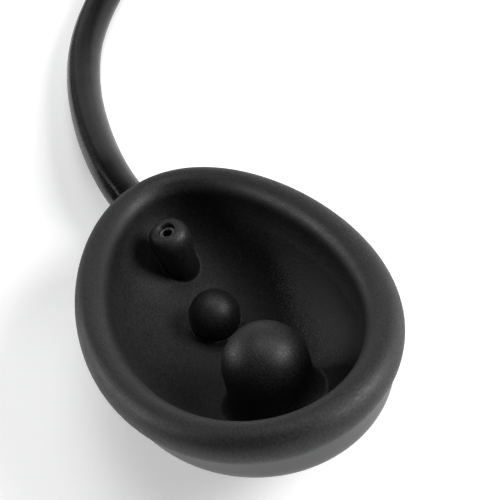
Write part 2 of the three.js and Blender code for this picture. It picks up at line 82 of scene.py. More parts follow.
# The glossier outside band, whose lighter colour is painted reflection of the floor, starts this far under
# the lip's centreline, and this far below the bowl's surface.
PAINTED_LIGHT_BAND_UNDER_LIP = 3.9
PAINTED_LIGHT_BAND_UNDER_BOWL = 1.0

# Bosses: where each stands, and the height and radius of the ball at its head.
LARGE_BOSS = (13.4, 2.0)
LARGE_BALL_HEIGHT = 17.0
LARGE_BALL_RADIUS = 10.3
LARGE_FOOT_REACH = 11.6
SMALL_BOSS = (-18.0, -0.8)
SMALL_BALL_HEIGHT = 9.0
SMALL_BALL_RADIUS = 6.45

# Nozzle post, the steel tube in it, and the socket that the tube leaves by.
NOZZLE_FOOT = Vector((-37.6, -1.5, 8.0))
NOZZLE_TIP = Vector((-36.0, -3.2, 25.45))
TUBE_RADIUS = 2.0
TUBE_BORE = 1.2
TUBE_RECESS = 1.3  # 0.7 in the CAD frame
SOCKET_FACE = Vector((-51.5, -2.91, 9.3))
SOCKET_HEADING = math.pi + 0.075
SOCKET_AXIS = Vector((math.cos(SOCKET_HEADING), math.sin(SOCKET_HEADING), 0.0))
SOCKET_RADIUS = 7.0
FERRULE_RADIUS = 7.2
FERRULE_LENGTH = 4.0
BOOT_START = 4.3
BOOT_LENGTH = 13.0
BOOT_RADIUS = 7.2

# Hose and its coil.
HOSE_RADIUS = 5.25
COIL_CENTRE = (-281.0, -35.0)
COIL_RADIUS = 54.0
LAYERS = (HOSE_RADIUS, 3 * HOSE_RADIUS)
COIL_FROM = 105
COIL_TO = 638
COIL_STEPS = 41
CLIMB_FROM = 345
CLIMB_TO = 440
TIE_ANGLE = 190
TIE_WIDTH = 9.0
TIE_THICKNESS = 1.2
TIE_LIFT = 1.25
TIE_LIFT_SPREAD = 28
HOSE_START = [
    (-65.2, -3.94, 9.3),
    (-69.36, -4.25, 9.3),
    (-76.0, -4.75, 9.3),
    (-83.0, -5.2, 9.2),
    (-91.5, -5.2, 9.0),
    (-103.9, -4.5, 8.0),
    (-116.3, -3.2, 7.0),
    (-128.8, -1.3, 6.1),
    (-140.7, 1.2, 5.6),
    (-152.1, 4.4, 5.3),
    (-163.0, 8.3, 5.25),
    (-173.5, 13.3, 5.25),
    (-183.7, 19.3, 5.25),
    (-197.0, 28.0, 5.25),
    (-207.0, 32.3, 5.25),
    (-218.0, 34.2, 5.25),
    (-232.0, 33.6, 5.25),
    (-250.0, 30.0, 5.25),
    (-272.0, 24.3, 5.25),
]
HOSE_END = [
    (-262.0, -86.8, 16.6),
    (-249.0, -84.9, 19.2),
    (-236.3, -83.1, 22.7),
    (-224.0, -81.4, 25.3),
    (-212.0, -79.7, 26.0),
]

# Hand pump: lengths run along its own line.
PUMP = Matrix.Translation((-214.0, -80.0, 26.0)) @ Matrix.Rotation(math.radians(8), 4, "Z")
RELEASE_AT = 22.0
RELEASE = PUMP @ Matrix.Translation((RELEASE_AT, 0, 0))
TOWER_RADIUS = 5.0
TOWER_TOP = 13.5
BUTTON_TRAVEL = 2.0
BULB_START = 42.6
BULB_LENGTH = 92.0
BULB_RADIUS = 26.0
BULB_WALL = 2.6
NECK_RADIUS = 8.6
NECK_BORE = 5.6
VALVE_RADIUS = 7.5
CHECK_SEAT = 29.0
CHECK_ROOM = 2.6

# ---------------------------------------------------------------- camera

VIEW_TARGET = Vector((0.0, 0.0, 29.0))
VIEW_AZIMUTH = 78.0
VIEW_ELEVATION = 40.0
VIEW_ROLL = -15.5
VIEW_DISTANCE = 344.0
VIEW_OFFSET = (5.55, 10.84)
LENS = 107.57
SENSOR = 36.0


def add_camera():
    azimuth, elevation = math.radians(VIEW_AZIMUTH), math.radians(VIEW_ELEVATION)
    back = Vector((
        math.sin(azimuth) * math.cos(elevation),
        -math.cos(azimuth) * math.cos(elevation),
        math.sin(elevation),
    ))
    level = Vector((math.cos(azimuth), math.sin(azimuth), 0.0))
    turn = Matrix.Rotation(math.radians(VIEW_ROLL), 3, back)
    right = turn @ level
    up = back.cross(right)
    place = VIEW_TARGET + back * VIEW_DISTANCE + right * VIEW_OFFSET[0] + up * VIEW_OFFSET[1]
    camera = bpy.data.objects.new("view_camera", bpy.data.cameras.new("view_camera"))
    camera.data.lens = LENS
    camera.data.sensor_width = SENSOR
    camera.data.clip_start = 0.01
    camera.data.clip_end = 50.0
    camera.matrix_world = Matrix.Translation(place * MM) @ Matrix((right, up, back)).transposed().to_4x4()
    bpy.context.scene.collection.objects.link(camera)
    bpy.context.scene.camera = camera


# ---------------------------------------------------------------- materials


class Nodes:
    """A material's nodes, added and linked in short lines."""

    def __init__(self, name, color, roughness, metallic=0.0, **sockets):
        self.material = bpy.data.materials.new(name)
        self.material.use_nodes = True
        self.tree = self.material.node_tree
        self.shader = self.tree.nodes["Principled BSDF"]
        self.set(self.shader, "Base Color", (*color, 1.0))
        self.set(self.shader, "Roughness", roughness)
        self.set(self.shader, "Metallic", metallic)
        for key, value in sockets.items():
            self.set(self.shader, key.replace("_", " "), value)
        self.place = self.add("ShaderNodeTexCoord").outputs["Object"]

    def add(self, kind, **settings):
        node = self.tree.nodes.new(kind)
        for key, value in settings.items():
            setattr(node, key, value)
        return node

    def set(self, node, socket, value):
        if isinstance(value, bpy.types.NodeSocket):
            self.tree.links.new(value, node.inputs[socket])
        else:
            node.inputs[socket].default_value = value

    def noise(self, size, detail=2.0, roughness=0.5, place=None):
        """Noise whose features are about this many millimetres across."""
        node = self.add("ShaderNodeTexNoise")
        self.set(node, "Vector", place or self.place)
        self.set(node, "Scale", 1.0 / (size * MM))
        self.set(node, "Detail", detail)
        self.set(node, "Roughness", roughness)
        return node.outputs["Fac"]

    def spread(self, fac, low, high, start=0.3, end=0.7):
        """A factor spread between two values."""
        node = self.add("ShaderNodeMapRange")
        self.set(node, "Value", fac)
        self.set(node, "From Min", start)
        self.set(node, "From Max", end)
        self.set(node, "To Min", low)
        self.set(node, "To Max", high)
        return node.outputs["Result"]

    def colors(self, fac, dark, light, start=0.3, end=0.7):
        ramp = self.add("ShaderNodeValToRGB")
        ramp.color_ramp.elements[0].position = start
        ramp.color_ramp.elements[0].color = (*dark, 1.0)
        ramp.color_ramp.elements[1].position = end
        ramp.color_ramp.elements[1].color = (*light, 1.0)
        self.set(ramp, "Fac", fac)
        self.set(self.shader, "Base Color", ramp.outputs["Color"])

    def bump(self, *layers):
        """Bump from (height, depth in millimetres) layers, one after another."""
        normal = None
        for height, depth in layers:
            node = self.add("ShaderNodeBump")
            self.set(node, "Strength", 1.0)
            self.set(node, "Distance", depth * MM)
            self.set(node, "Height", height)
            if normal:
                self.set(node, "Normal", normal)
            normal = node.outputs["Normal"]
        self.set(self.shader, "Normal", normal)


def silicone():
    m = Nodes("satin_silicone", (0.006, 0.006, 0.0064), 0.47, Specular_IOR_Level=0.4)
    grain = m.noise(0.42, detail=3.0, roughness=0.7)
    patches = m.noise(14.0)
    specks = m.noise(0.5, detail=2.0, roughness=0.7)
    m.colors(specks, (0.0008, 0.0008, 0.0009), (0.0125, 0.0125, 0.0132), 0.38, 0.64)
    both = m.add("ShaderNodeMath", operation="MULTIPLY_ADD")
    m.set(both, 0, m.spread(patches, -0.04, 0.05))
    m.set(both, 1, 1.0)
    m.set(both, 2, m.spread(grain, 0.4, 0.66))
    m.set(m.shader, "Roughness", both.outputs["Value"])
    m.bump((grain, 0.045), (specks, 0.03))
    return m.material


def glossy_painted_reflection_silicone():
    # Painted light: a glossier copy of the satin silicone with about twice its base colour, so the band
    # under the lip shows a painted reflection of the bright floor.
    m = Nodes("glossy_painted_reflection_silicone", (0.012, 0.012, 0.0125), 0.3, Specular_IOR_Level=1.0)
    ripple = m.noise(6.0, detail=2.0)
    grain = m.noise(0.3, detail=3.0, roughness=0.6)
    m.colors(ripple, (0.010, 0.010, 0.0105), (0.015, 0.015, 0.0155))
    m.set(m.shader, "Roughness", m.spread(grain, 0.32, 0.44))
    m.bump((ripple, 0.06), (grain, 0.012))
    return m.material


def hose_rubber():
    m = Nodes("gloss_hose_rubber", (0.006, 0.006, 0.0065), 0.26, Specular_IOR_Level=0.12)
    skin = m.noise(0.5, detail=2.0)
    waves = m.noise(9.0, detail=1.0)
    m.colors(waves, (0.003, 0.003, 0.0033), (0.005, 0.005, 0.0053))
    m.set(m.shader, "Roughness", m.spread(skin, 0.2, 0.32))
    m.bump((waves, 0.05), (skin, 0.006))
    return m.material


def bulb_rubber():
    m = Nodes("bulb_rubber", (0.018, 0.018, 0.019), 0.42)
    grain = m.noise(0.5, detail=3.0, roughness=0.6)
    cloud = m.noise(20.0)
    m.colors(cloud, (0.008, 0.008, 0.0085), (0.013, 0.013, 0.0137))
    m.set(m.shader, "Roughness", m.spread(grain, 0.34, 0.52))
    m.bump((grain, 0.03))
    return m.material


def fitting_rubber():
    m = Nodes("fitting_rubber", (0.015, 0.015, 0.016), 0.6)
    grain = m.noise(0.35, detail=3.0, roughness=0.65)
    m.colors(grain, (0.012, 0.012, 0.013), (0.02, 0.02, 0.021))
    m.set(m.shader, "Roughness", m.spread(grain, 0.5, 0.72))
    m.bump((grain, 0.04))
    return m.material


def polished_chrome():
    m = Nodes("polished_chrome", (0.5, 0.505, 0.515), 0.14, metallic=1.0)
    haze = m.noise(3.0, detail=4.0, roughness=0.6)
    scratches = m.noise(0.5, detail=2.0)
    m.colors(haze, (0.46, 0.465, 0.475), (0.56, 0.565, 0.575))
    m.set(m.shader, "Roughness", m.spread(haze, 0.11, 0.2))
    m.bump((scratches, 0.001))
    return m.material


def tube_steel():
    m = Nodes("tube_steel", (0.62, 0.63, 0.64), 0.2, metallic=1.0)
    streaks = m.add("ShaderNodeMapping")
    m.set(streaks, "Vector", m.place)
    m.set(streaks, "Scale", (0.12, 1.0, 1.0))
    brushed = m.noise(0.18, detail=3.0, place=streaks.outputs["Vector"])
    m.colors(brushed, (0.42, 0.43, 0.44), (0.56, 0.57, 0.58))
    m.set(m.shader, "Roughness", m.spread(brushed, 0.14, 0.28))
    m.bump((brushed, 0.003))
    return m.material


def pale_floor():
    m = Nodes("pale_floor", (0.86, 0.86, 0.86), 0.7, Specular_IOR_Level=0.2, Emission_Strength=0.32)
    m.set(m.shader, "Emission Color", (1.0, 1.0, 1.0, 1.0))
    cloud = m.noise(400.0)
    m.colors(cloud, (0.85, 0.85, 0.855), (0.88, 0.88, 0.88))
    return m.material


# ---------------------------------------------------------------- mesh helpers


def quadratic(a, b, c, steps):
    """Points of the curve that leaves a towards b and arrives at c."""
    for i in range(steps + 1):
        t = i / steps
        yield tuple((1 - t) ** 2 * p + 2 * t * (1 - t) * q + t * t * r for p, q, r in zip(a, b, c))


def softened(corners, radius, steps=4, closed=False):
    """An outline of (radius, height) corners with each corner rounded off."""
    count = len(corners)
    line = []
    for i, corner in enumerate(corners):
        here = Vector(corner[:2])
        reach = corner[2] if len(corner) > 2 else radius
        if (not closed and i in (0, count - 1)) or reach <= 0:
            line.append(tuple(here))
            continue
        before = Vector(corners[i - 1][:2]) - here
        after = Vector(corners[(i + 1) % count][:2]) - here
        a = here + before.normalized() * min(reach, 0.47 * before.length)
        c = here + after.normalized() * min(reach, 0.47 * after.length)
        line.extend(quadratic(a, here, c, steps))
    return line


def turned(profile, sides, closed=False):
    """Points and faces turned about +Z. An end on the axis closes to a point."""
    points, rings = [], []
    for r, z in profile:
        if abs(r) < 1e-6:
            rings.append([len(points)] * sides)
            points.append((0.0, 0.0, z))
            continue
        rings.append(list(range(len(points), len(points) + sides)))
        for i in range(sides):
            a = 2 * math.pi * i / sides
            points.append((r * math.cos(a), r * math.sin(a), z))
    if closed:
        rings.append(rings[0])
    faces = []
    for low, high in zip(rings, rings[1:]):
        for i in range(sides):
            j = (i + 1) % sides
            face = list(dict.fromkeys((low[i], low[j], high[j], high[i])))
            if len(face) > 2:
                faces.append(face)
    return np.array(points), faces


def placed(points, matrix):
    """Points moved by a matrix."""
    m = np.array(matrix)
    return points @ m[:3, :3].T + m[:3, 3]


def pointing(origin, direction):
    """The matrix that takes +Z to a direction, from an origin."""
    turn = Vector((0.0, 0.0, 1.0)).rotation_difference(Vector(direction))
    return Matrix.Translation(origin) @ turn.to_matrix().to_4x4()


ALONG_PUMP = PUMP @ pointing((0.0, 0.0, 0.0), (1.0, 0.0, 0.0))


def piece(name, points, faces, material=None):
    """A mesh object of these points, in millimetres, with its faces turned outwards."""
    mesh = bpy.data.meshes.new(name)
    mesh.from_pydata((np.asarray(points) * MM).tolist(), [], faces)
    work = bmesh.new()
    work.from_mesh(mesh)
    bmesh.ops.remove_doubles(work, verts=work.verts, dist=1e-7)
    bmesh.ops.recalc_face_normals(work, faces=work.faces)
    work.to_mesh(mesh)
    work.free()
    mesh.shade_smooth()
    if material:
        mesh.materials.append(material)
    obj = bpy.data.objects.new(name, mesh)
    bpy.context.scene.collection.objects.link(obj)
    return obj


def applied(obj):
    """The object with its modifiers made part of its mesh."""
    bpy.context.view_layer.update()
    shown = obj.evaluated_get(bpy.context.evaluated_depsgraph_get())
    mesh = bpy.data.meshes.new_from_object(shown)
    old = obj.data
    obj.modifiers.clear()
    obj.data = mesh
    mesh.name = obj.name
    bpy.data.meshes.remove(old)
    return obj


def combined(obj, others, operation):
    """The object after joining, cutting or keeping what it shares with others, which are used up."""
    for other in others:
        modifier = obj.modifiers.new(other.name, "BOOLEAN")
        modifier.operation = operation
        modifier.solver = "MANIFOLD"
        modifier.object = other
    applied(obj)
    for other in others:
        bpy.data.objects.remove(other)
    return obj


def crisp(obj, degrees=35):
    """Smooth shading that breaks only at edges sharper than this."""
    obj.data.set_sharp_from_angle(angle=math.radians(degrees))
    return obj


def finished(obj, body, slot, *nodes):
    """The piece rides on its body, in place of CAD nodes."""
    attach(obj, body)
    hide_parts(*nodes)
    return obj


def smooth_line(points, per_span):
    """A Catmull-Rom line through points, as vectors."""
    p = [Vector(q) for q in points]
    p = [2 * p[0] - p[1], *p, 2 * p[-1] - p[-2]]
    line = []
    for a, b, c, d in zip(p, p[1:], p[2:], p[3:]):
        for i in range(per_span):
            t = i / per_span
            square, cube = 2 * a - 5 * b + 4 * c - d, 3 * b - a - 3 * c + d
            line.append(0.5 * (2 * b + (c - a) * t + square * t * t + cube * t**3))
    line.append(p[-2])
    return line


def swept(profile, line, capped=True):
    """Points and faces of a section, (side, up) pairs, carried along a line without twisting."""
    points, faces = [], []
    tangents = [(b - a).normalized() for a, b in zip(line, line[1:])]
    tangents.append(tangents[-1])
    side = tangents[0].orthogonal().normalized()
    for here, tangent in zip(line, tangents):
        side = (side - tangent * side.dot(tangent)).normalized()
        up = tangent.cross(side)
        points.extend(tuple(here + side * u + up * v) for u, v in profile)
    n = len(profile)
    for k in range(len(line) - 1):
        for i in range(n):
            j = (i + 1) % n
            faces.append((k * n + i, k * n + j, (k + 1) * n + j, (k + 1) * n + i))
    if capped:
        faces.append(tuple(range(n)))
        faces.append(tuple((len(line) - 1) * n + i for i in reversed(range(n))))
    return np.array(points), faces


def ring_section(radius, sides):
    steps = (2 * math.pi * i / sides for i in range(sides))
    return [(radius * math.cos(a), radius * math.sin(a)) for a in steps]


def ball_arc(radius, centre, end, count):
    """Profile of a ball, from its top down to an angle."""
    return [(radius * math.sin(a), centre + radius * math.cos(a)) for a in np.linspace(0, end, count)]


def knurled(points, low, high, radius, teeth, depth):
    """Presses upright teeth into turned points, in the band between two heights."""
    r = np.hypot(points[:, 0], points[:, 1])
    a = np.arctan2(points[:, 1], points[:, 0])
    band = (points[:, 2] > low) & (points[:, 2] < high) & (r > radius - 0.4)
    cut = depth * (0.5 - 0.5 * np.cos(a * teeth)) * band
    points[:, 0] *= 1 - cut / np.maximum(r, 1)
    points[:, 1] *= 1 - cut / np.maximum(r, 1)


def fitting(name, corners, matrix, material=None, radius=0.25, closed=True, sides=96, steps=4, knurl=None):
    """A ring or plug turned about an axis, with softened corners and, if asked for, a knurled band."""
    points, faces = turned(softened(corners, radius, steps, closed), sides, closed)
    if knurl:
        knurled(points, *knurl)
    return piece(name, placed(points, matrix), faces, material)


# ---------------------------------------------------------------- hose


def ease(t):
    """A smooth step from 0 to 1."""
    t = min(max(t, 0.0), 1.0)
    return t * t * (3 - 2 * t)


def coil_points():
    """The coil's centreline: a turn and a half, climbing once, lifted a little at the strap."""
    points = []
    for i in range(COIL_STEPS + 1):
        degrees = COIL_FROM + (COIL_TO - COIL_FROM) * i / COIL_STEPS
        a = math.radians(degrees)
        z = LAYERS[0] + (LAYERS[1] - LAYERS[0]) * ease((degrees - CLIMB_FROM) / (CLIMB_TO - CLIMB_FROM))
        apart = min(abs(degrees - TIE_ANGLE), abs(degrees - TIE_ANGLE - 360))
        z += TIE_LIFT * ease(1 - apart / TIE_LIFT_SPREAD)
        points.append((
            COIL_CENTRE[0] + COIL_RADIUS * math.cos(a),
            COIL_CENTRE[1] + COIL_RADIUS * math.sin(a),
            z,
        ))
    return points


def add_hose(material):
    """The whole hose on one smooth curve. Also gives its route."""
    curve = bpy.data.curves.new("air_hose", "CURVE")
    curve.dimensions = "3D"
    curve.bevel_depth = HOSE_RADIUS * MM
    curve.bevel_resolution = 8
    curve.resolution_u = 8
    curve.use_fill_caps = True
    curve.materials.append(material)
    route = [*HOSE_START, *coil_points(), *HOSE_END]
    spline = curve.splines.new("BEZIER")
    spline.bezier_points.add(len(route) - 1)
    for point, place in zip(spline.bezier_points, route):
        point.co = Vector(place) * MM
        point.handle_left_type = "AUTO"
        point.handle_right_type = "AUTO"
    obj = bpy.data.objects.new("air_hose", curve)
    bpy.context.scene.collection.objects.link(obj)
    finished(obj, ROOT, "hose_rubber", "hose", "hose_coil", "hose_tail")
    return obj, route


# ---------------------------------------------------------------- cup


def egg(t, outwards):
    """Points of the egg, moved outwards along its normal."""
    x = LIP_HALF_LENGTH * np.cos(t)
    y = LIP_HALF_WIDTH * np.sin(t) * (1 + EGG_BLUNTNESS * np.cos(t))
    dx = -LIP_HALF_LENGTH * np.sin(t)
    dy = LIP_HALF_WIDTH * (np.cos(t) + EGG_BLUNTNESS * np.cos(2 * t))
    n = np.hypot(dx, dy)
    return x + outwards * dy / n, y - outwards * dx / n


def lip_rise(t):
    """How far the lip stands above its middle height, round the egg."""
    return LIP_TILT * np.cos(t) + LIP_SADDLE * np.cos(2 * t)


def egg_angle(x, y, outwards):
    """The egg's own angle at points of the ground plan, read from the egg moved outwards."""
    t = np.linspace(-np.pi, np.pi, 721)
    u, v = egg(t, outwards)
    return np.interp(np.arctan2(y, x), np.unwrap(np.arctan2(v, u)), t)


def onto_egg(points):
    """Bends a round cup onto the egg: true to size near the lip, shrunk towards the middle further in."""
    x, y, z = np.asarray(points).T
    r = np.hypot(x, y)
    t = np.arctan2(y, x)
    u, v = egg(t, np.maximum(r - NOMINAL, -TRUE_WITHIN))
    shrink = np.minimum(r / (NOMINAL - TRUE_WITHIN), 1.0)
    rise = lip_rise(t) * np.clip(z / LIP_HEIGHT, 0.0, 1.0)
    return np.stack([shrink * u, shrink * v, z + rise], -1)


def outer_line(count):
    """The outside: base, sloping flank, the skirt's rounded edge, then straight up to the lip."""
    edge = Vector((NOMINAL + WALL_OUTSET, LIP_HEIGHT - SKIRT_DEPTH))
    slope = (Vector(FLANK) - edge).normalized()
    below = edge + slope * SKIRT_ROUNDING
    above = edge + Vector((0.0, SKIRT_ROUNDING))
    under_lip = math.sqrt(LIP_RADIUS**2 - WALL_OUTSET**2)
    foot = softened([(0, 0), (BASE_RADIUS, 0), FLANK], BASE_ROUNDING, 6)[1:-1]
    flank = [p for p in quadratic((BASE_RADIUS, 0), FLANK, below, count) if p[1] > foot[-1][1] + 0.3]
    return [*foot, *flank, *quadratic(below, edge, above, 8), (edge.x, LIP_HEIGHT - under_lip)]


def lip_arc(count):
    start = -math.acos(WALL_OUTSET / LIP_RADIUS)
    steps = (start + (math.pi - start) * i / count for i in range(1, count + 1))
    return [(NOMINAL + LIP_RADIUS * math.cos(a), LIP_HEIGHT + LIP_RADIUS * math.sin(a)) for a in steps]


def inner_line(lift, count):
    """The bowl's inside, from the rim to the middle of the floor, lifted off the wall by a distance."""
    rim = NOMINAL - LIP_RADIUS - lift
    depth = LIP_HEIGHT - FLOOR_HEIGHT - lift
    power = 2 / INNER_FULLNESS
    line = []
    for i in range(1, count):
        a = i / count * math.pi / 2
        line.append((rim * math.cos(a) ** power, LIP_HEIGHT - depth * math.sin(a) ** power))
    return [*line, (0.0, LIP_HEIGHT - depth)]


def bowl_space(name, sink=SINK):
    """The space in the bowl, sunk a little into the wall."""
    rim = NOMINAL - LIP_RADIUS + sink
    lid = LIP_HEIGHT + 12
    points, faces = turned([(0, lid), (rim, lid), (rim, LIP_HEIGHT), *inner_line(-sink, 30)], CUP_SIDES)
    return piece(name, onto_egg(points), faces)


def kept_in_bowl(obj):
    """The part of a piece that lies in the bowl."""
    return combined(obj, [bowl_space("keep_" + obj.name)], "INTERSECT")


def floor_at(x, y):
    """The height of the bowl's inside surface over points of the ground plan."""
    t = egg_angle(x, y, -TRUE_WITHIN)
    u, v = egg(t, -TRUE_WITHIN)
    r = (NOMINAL - TRUE_WITHIN) * np.hypot(x, y) / np.hypot(u, v)
    rim = NOMINAL - LIP_RADIUS
    cosine = np.clip(r / rim, 0.0, 1.0) ** (INNER_FULLNESS / 2)
    sine = np.sqrt(1 - cosine**2)
    z = LIP_HEIGHT - (LIP_HEIGHT - FLOOR_HEIGHT) * sine ** (2 / INNER_FULLNESS)
    return z + lip_rise(t) * np.clip(z / LIP_HEIGHT, 0.0, 1.0)


def sweep_rows(x, y, waist, waist_z, around, reach, leave):
    """Rings, as (radius, height) arrays, of a side that leaves the waist and sweeps into the bowl."""
    probe = 0.5
    ring_x, ring_y = np.cos(around), np.sin(around)
    land = floor_at(x + reach * ring_x, y + reach * ring_y)
    near = floor_at(x + (reach - probe) * ring_x, y + (reach - probe) * ring_y)
    slope = (land - near) / probe
    bend = np.maximum(land + slope * (waist - reach), land + 0.25 * (land - FLOOR_HEIGHT))
    top = np.minimum(waist_z, np.maximum(bend + leave, bend + 0.5))
    past_foot, under_foot = 0.2, 0.9
    sweep = quadratic((waist, top), (waist, bend), (reach, land), 16)
    return [*sweep, (reach + past_foot, land - under_foot)]


def boss(name, x, y, head, foot_reach, leave):
    """A domed boss whose side sweeps into the bowl's surface all round. Its head is (radius, height) pairs
    from the top down. foot_reach gives how far out the sweep lands in each direction, and leave how far
    above the surface the sweep leaves the head's last point."""
    sides = 128
    around = np.arange(sides) * 2 * np.pi / sides
    rows = [(np.full(sides, r), np.full(sides, z)) for r, z in head[1:]]
    rows += sweep_rows(x, y, *head[-1], around, foot_reach(around), leave)
    below_base = -3.0
    points = [(x, y, head[0][1])]
    for r, z in rows:
        points.extend(zip(x + r * np.cos(around), y + r * np.sin(around), z))
    points.append((x, y, below_base))
    faces = [(0, 1 + i, 1 + (i + 1) % sides) for i in range(sides)]
    for k in range(len(rows) - 1):
        for i in range(sides):
            j = (i + 1) % sides
            a, b = 1 + k * sides, 1 + (k + 1) * sides
            faces.append((a + i, b + i, b + j, a + j))
    last = 1 + (len(rows) - 1) * sides
    faces += [(last + i, len(points) - 1, last + (i + 1) % sides) for i in range(sides)]
    return kept_in_bowl(piece(name, points, faces))


def large_dome():
    """A half ball on a short straight neck, with a swept foot."""
    head = ball_arc(LARGE_BALL_RADIUS, LARGE_BALL_HEIGHT, math.pi / 2, 40)
    head += [(LARGE_BALL_RADIUS, LARGE_BALL_HEIGHT - 0.8), (LARGE_BALL_RADIUS, LARGE_BALL_HEIGHT - 1.6)]

    def reach(around):
        """Wider towards the bowl's wide end and towards -Y."""
        wide_end = np.clip(np.cos(around - math.radians(14)), 0.0, 1.0) ** 2
        side = np.clip(np.cos(around + math.radians(100)), 0.0, 1.0) ** 2
        return LARGE_FOOT_REACH + 2.8 * wide_end + 1.6 * side

    return boss("large_boss", *LARGE_BOSS, head, reach, 11.0)


def small_dome():
    """A plain ball sunk in the floor."""
    arc = ball_arc(SMALL_BALL_RADIUS, SMALL_BALL_HEIGHT, math.pi, 49)
    points, faces = turned([*arc[:-1], (0.0, SMALL_BALL_HEIGHT - SMALL_BALL_RADIUS)], 96)
    return kept_in_bowl(piece("small_boss", points + (*SMALL_BOSS, 0.0), faces))


def nozzle_post():
    """The post round the tube's end: straight, then wider, then narrowing to a rounded tip."""
    tip = (NOZZLE_TIP - NOZZLE_FOOT).length
    corners = [
        (0, -4), (4.1, -4, 0), (4.1, 2, 2), (5.1, tip - 6, 3), (5.5, tip - 3.2, 1.6),
        (4.8, tip - 1.0, 1.4), (3.4, tip - 0.05, 0.8), (0, tip),
    ]
    place = pointing(NOZZLE_FOOT, NOZZLE_TIP - NOZZLE_FOOT)
    return kept_in_bowl(fitting("nozzle_post", corners, place, radius=1, closed=False, sides=72, steps=6))


def tube_route(top, out):
    """From a height in the nozzle down through the wall and out of the socket by a distance."""
    up = (NOZZLE_TIP - NOZZLE_FOOT).normalized()
    return [
        NOZZLE_FOOT + up * top,
        NOZZLE_FOOT + up * 11,
        NOZZLE_FOOT + up * 6.4,
        Vector((-39.1, -1.75, 11.1)),
        SOCKET_FACE - SOCKET_AXIS * 8.7,
        SOCKET_FACE - SOCKET_AXIS * 3.5,
        SOCKET_FACE + SOCKET_AXIS * out,
    ]


def tube_space(radius, top, out):
    points, faces = swept(ring_section(radius, 40), smooth_line(tube_route(top, out), 8))
    return piece("tube_space", points, faces)


def socket_stub():
    """The thick sleeve on the outside that the tube leaves by, cut clear of the bowl."""
    corners = [
        (0, -16.5), (SOCKET_RADIUS - 2, -15.5, 1), (SOCKET_RADIUS, -12.5, 2), (SOCKET_RADIUS, -1, 1),
        (SOCKET_RADIUS - 1, 0, 0.5), (0, 0),
    ]
    place = pointing(SOCKET_FACE, SOCKET_AXIS)
    stub = fitting("socket_stub", corners, place, radius=1, closed=False, sides=72)
    return combined(stub, [bowl_space("keep_out", 2 * SINK)], "DIFFERENCE")


def below_lip(mesh):
    """Which faces belong to the glossier outside band, whose lighter colour is painted reflection, from
    the lip's underside down.
    """
    count = len(mesh.polygons)
    centre, normal = np.empty(count * 3), np.empty(count * 3)
    mesh.polygons.foreach_get("center", centre)
    mesh.polygons.foreach_get("normal", normal)
    x, y, z = centre.reshape(-1, 3).T / MM
    facing = normal.reshape(-1, 3)
    lip_z = LIP_HEIGHT + lip_rise(egg_angle(x, y, 0.0))
    outside = (facing[:, 0] * x + facing[:, 1] * y > 0) | (facing[:, 2] < -0.5)
    return outside & (z < lip_z - PAINTED_LIGHT_BAND_UNDER_LIP) & (z < floor_at(x, y) - PAINTED_LIGHT_BAND_UNDER_BOWL)


def add_cup(material, glossy_painted_light):
    """The cup with its bosses, nozzle and socket is one moulding, so it is one seamless surface here."""
    points, faces = turned([(0, 0), *outer_line(40), *lip_arc(40), *inner_line(0, 44)], CUP_SIDES)
    cup = piece("cup_moulding", onto_egg(points), faces, material)
    combined(cup, [large_dome(), small_dome(), nozzle_post(), socket_stub()], "UNION")
    tip = (NOZZLE_TIP - NOZZLE_FOOT).length
    room = 0.25
    combined(cup, [tube_space(TUBE_RADIUS + room, tip + 2, 2)], "DIFFERENCE")
    remesh = cup.modifiers.new("even", "REMESH")
    remesh.mode = "VOXEL"
    remesh.voxel_size = CUP_VOXEL * MM
    smooth = cup.modifiers.new("soften", "SMOOTH")
    smooth.factor = 0.5
    smooth.iterations = 1
    applied(cup)
    cup.data.shade_smooth()
    cup.data.materials.clear()
    cup.data.materials.append(material)
    # The band under the lip gets the glossier copy, whose lighter colour is painted reflection.
    cup.data.materials.append(glossy_painted_light)
    cup.data.polygons.foreach_set("material_index", below_lip(cup.data).astype(np.int32))
    finished(cup, ROOT, "cup_silicone", "cup_shell", "large_dome", "small_dome", "nozzle_sleeve")


def add_tube(material):
    """The steel tube: a pipe with square ends, swept along its route."""
    sides = 40
    tip = (NOZZLE_TIP - NOZZLE_FOOT).length
    line = smooth_line(tube_route(tip - TUBE_RECESS, FERRULE_LENGTH + 4), 8)
    outside, outside_faces = swept(ring_section(TUBE_RADIUS, sides), line, capped=False)
    inside, inside_faces = swept(ring_section(TUBE_BORE, sides), line, capped=False)
    within = len(outside)
    faces = [*outside_faces, *(tuple(within + i for i in face) for face in inside_faces)]
    for start in (0, within - sides):
        for i in range(sides):
            a, b = start + i, start + (i + 1) % sides
            faces.append((a, b, within + b, within + a))
    tube = piece("air_tube", np.vstack([outside, inside]), faces, material)
    crisp(tube)
    finished(tube, ROOT, "tube_steel", "port_tube")


# ---------------------------------------------------------------- hose fittings


